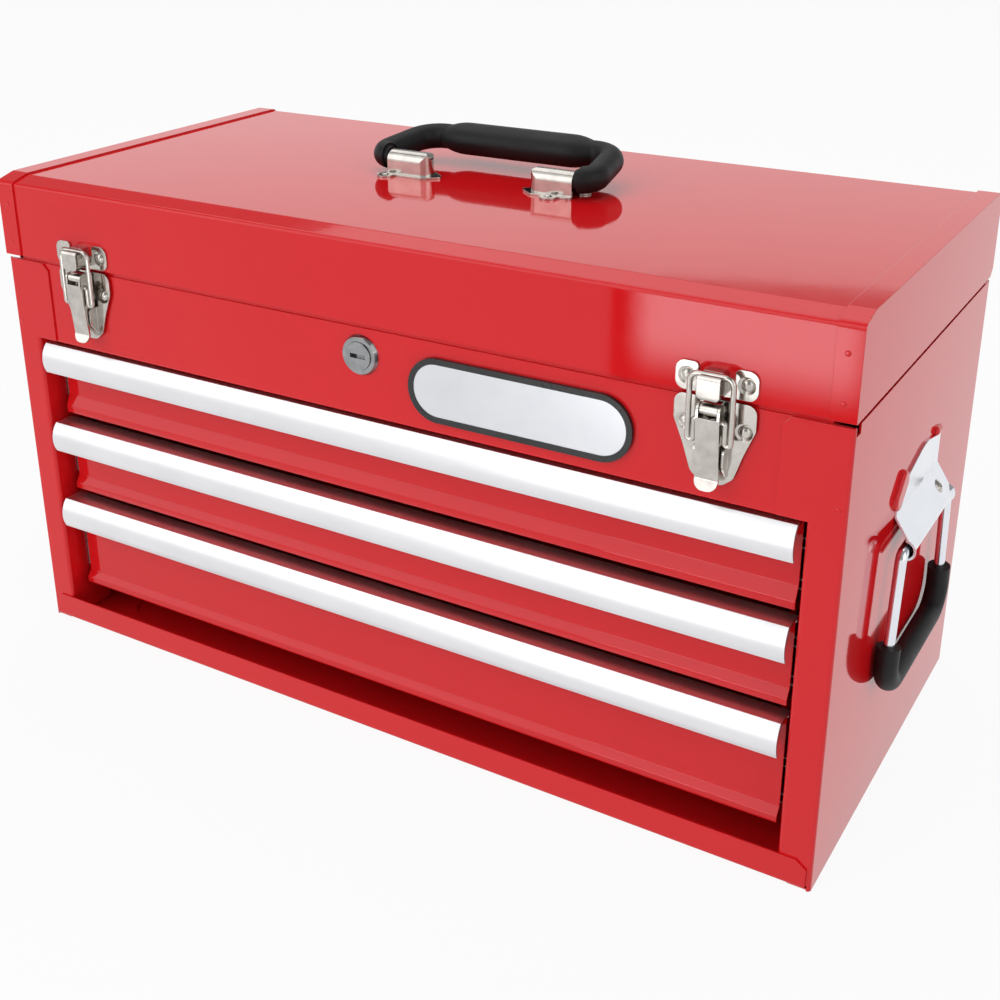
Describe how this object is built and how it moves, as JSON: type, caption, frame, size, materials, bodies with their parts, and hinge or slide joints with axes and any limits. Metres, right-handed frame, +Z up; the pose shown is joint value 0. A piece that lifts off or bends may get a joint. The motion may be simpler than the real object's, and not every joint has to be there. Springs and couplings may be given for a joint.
{
  "type": "portable tool box with drawers",
  "caption": "Portable steel tool box: hinged lid over an open tray, full-width drawers on ball slides, draw latches, key lock, folding top and side handles.",
  "frame": {"origin": "middle of the case's footprint, on the floor", "axes": "+X to the user's right along the long side, +Y from the drawers to the back, +Z up"},
  "size_m": [0.5336, 0.2551, 0.3137],
  "materials": {
    "red_paint": "gloss",
    "bright_nickel": "bright nickel plate",
    "zinc_plate": "zinc plate",
    "pull_aluminium": "satin anodised",
    "black_rubber": "matt",
    "badge_black": "gloss",
    "badge_silver": "brushed, bare",
    "lock_chrome": "bright chrome",
    "slide_steel": "zinc plate"
  },
  "bodies": {
    "case": {"side_panel_right": "red_paint", "side_panel_left": "red_paint", "bottom_panel": "red_paint", "back_panel": "red_paint", "front_fascia": "red_paint", "top_tray": "red_paint", "rear_posts": "red_paint", "slide_outer_top": "slide_steel", "slide_outer_middle": "slide_steel", "slide_outer_bottom": "slide_steel", "hinge_leaf_case": "zinc_plate", "hinge_pin": "zinc_plate", "stay_rivets": "zinc_plate", "latch_base_left": "bright_nickel", "latch_base_right": "bright_nickel", "lock_body": "lock_chrome", "lock_nut": "zinc_plate", "badge_rim": "badge_black", "badge_plate": "badge_silver", "side_bracket_left": "zinc_plate", "side_bracket_right": "zinc_plate", "case_rivets": "bright_nickel"},
    "lid": {"lid_shell": "red_paint", "lid_cap_left": "red_paint", "lid_cap_right": "red_paint", "hinge_leaf_lid": "zinc_plate", "stay_studs": "zinc_plate", "latch_keeper_left": "bright_nickel", "latch_keeper_right": "bright_nickel", "lid_strike": "zinc_plate", "handle_saddles": "bright_nickel", "lid_rivets": "bright_nickel"},
    "lid_stays": {"stay_arms": "zinc_plate"},
    "lock_plug_body": {"lock_plug": "lock_chrome", "lock_cam": "zinc_plate"},
    "top_handle": {"top_handle_rod": "zinc_plate", "top_handle_grip": "black_rubber"},
    "drawer_top": {"drawer_box_top": "red_paint", "drawer_front_top": "red_paint", "drawer_pull_top": "pull_aluminium", "slide_inner_top": "slide_steel"},
    "cage_top": {"slide_cage_top": "slide_steel"},
    "drawer_middle": {"drawer_box_middle": "red_paint", "drawer_front_middle": "red_paint", "drawer_pull_middle": "pull_aluminium", "slide_inner_middle": "slide_steel"},
    "cage_middle": {"slide_cage_middle": "slide_steel"},
    "drawer_bottom": {"drawer_box_bottom": "red_paint", "drawer_front_bottom": "red_paint", "drawer_pull_bottom": "pull_aluminium", "slide_inner_bottom": "slide_steel"},
    "cage_bottom": {"slide_cage_bottom": "slide_steel"},
    "lever_left": {"latch_lever_left": "bright_nickel"},
    "bail_left": {"latch_bail_left": "bright_nickel"},
    "side_handle_left": {"side_handle_wire_left": "zinc_plate", "side_handle_grip_left": "black_rubber"},
    "lever_right": {"latch_lever_right": "bright_nickel"},
    "bail_right": {"latch_bail_right": "bright_nickel"},
    "side_handle_right": {"side_handle_wire_right": "zinc_plate", "side_handle_grip_right": "black_rubber"}
  },
  "joints": [
    {"name": "lid_hinge", "type": "hinge", "parent": "case", "child": "lid", "pos_m": [0, 0.1223, 0.24275], "axis": [-1, 0, 0], "range_deg": [0, 95]},
    {"name": "lid_stay_hinge", "type": "hinge", "parent": "case", "child": "lid_stays", "pos_m": [0, 0.09892, 0.22925], "axis": [-1, 0, 0], "range_deg": [0, 47.5]},
    {"name": "lock_turn", "type": "hinge", "parent": "case", "child": "lock_plug_body", "pos_m": [0, -0.119, 0.227], "axis": [0, -1, 0], "range_deg": [0, 90]},
    {"name": "top_handle_hinge", "type": "hinge", "parent": "lid", "child": "top_handle", "pos_m": [0, 0, 0.2996], "axis": [1, 0, 0], "range_deg": [0, 170]},
    {"name": "drawer_top_slide", "type": "slide", "parent": "case", "child": "drawer_top", "axis": [0, -1, 0], "range_m": [0, 0.15]},
    {"name": "cage_top_slide", "type": "slide", "parent": "case", "child": "cage_top", "axis": [0, -1, 0], "range_m": [0, 0.075]},
    {"name": "drawer_middle_slide", "type": "slide", "parent": "case", "child": "drawer_middle", "axis": [0, -1, 0], "range_m": [0, 0.15]},
    {"name": "cage_middle_slide", "type": "slide", "parent": "case", "child": "cage_middle", "axis": [0, -1, 0], "range_m": [0, 0.075]},
    {"name": "drawer_bottom_slide", "type": "slide", "parent": "case", "child": "drawer_bottom", "axis": [0, -1, 0], "range_m": [0, 0.15]},
    {"name": "cage_bottom_slide", "type": "slide", "parent": "case", "child": "cage_bottom", "axis": [0, -1, 0], "range_m": [0, 0.075]},
    {"name": "lever_left_hinge", "type": "hinge", "parent": "case", "child": "lever_left", "pos_m": [-0.192, -0.1263, 0.2398], "axis": [-1, 0, 0], "range_deg": [0, 100]},
    {"name": "bail_left_hinge", "type": "hinge", "parent": "lever_left", "child": "bail_left", "pos_m": [-0.192, -0.1263, 0.2348], "axis": [-1, 0, 0], "range_deg": [-86, 0]},
    {"name": "side_handle_left_hinge", "type": "hinge", "parent": "case", "child": "side_handle_left", "pos_m": [-0.2608, 0, 0.1485], "axis": [0, 1, 0], "range_deg": [0, 95]},
    {"name": "lever_right_hinge", "type": "hinge", "parent": "case", "child": "lever_right", "pos_m": [0.192, -0.1263, 0.2398], "axis": [-1, 0, 0], "range_deg": [0, 100]},
    {"name": "bail_right_hinge", "type": "hinge", "parent": "lever_right", "child": "bail_right", "pos_m": [0.192, -0.1263, 0.2348], "axis": [-1, 0, 0], "range_deg": [-86, 0]},
    {"name": "side_handle_right_hinge", "type": "hinge", "parent": "case", "child": "side_handle_right", "pos_m": [0.2608, 0, 0.1485], "axis": [0, -1, 0], "range_deg": [0, 95]}
  ],
  "couplings": [
    {"joint": "lid_stay_hinge", "follows": "lid_hinge", "ratio": 0.5},
    {"joint": "cage_top_slide", "follows": "drawer_top_slide", "ratio": 0.5},
    {"joint": "cage_middle_slide", "follows": "drawer_middle_slide", "ratio": 0.5},
    {"joint": "cage_bottom_slide", "follows": "drawer_bottom_slide", "ratio": 0.5},
    {"joint": "bail_left_hinge", "follows": "lever_left_hinge", "ratio": -0.85},
    {"joint": "bail_right_hinge", "follows": "lever_right_hinge", "ratio": -0.85}
  ]
}
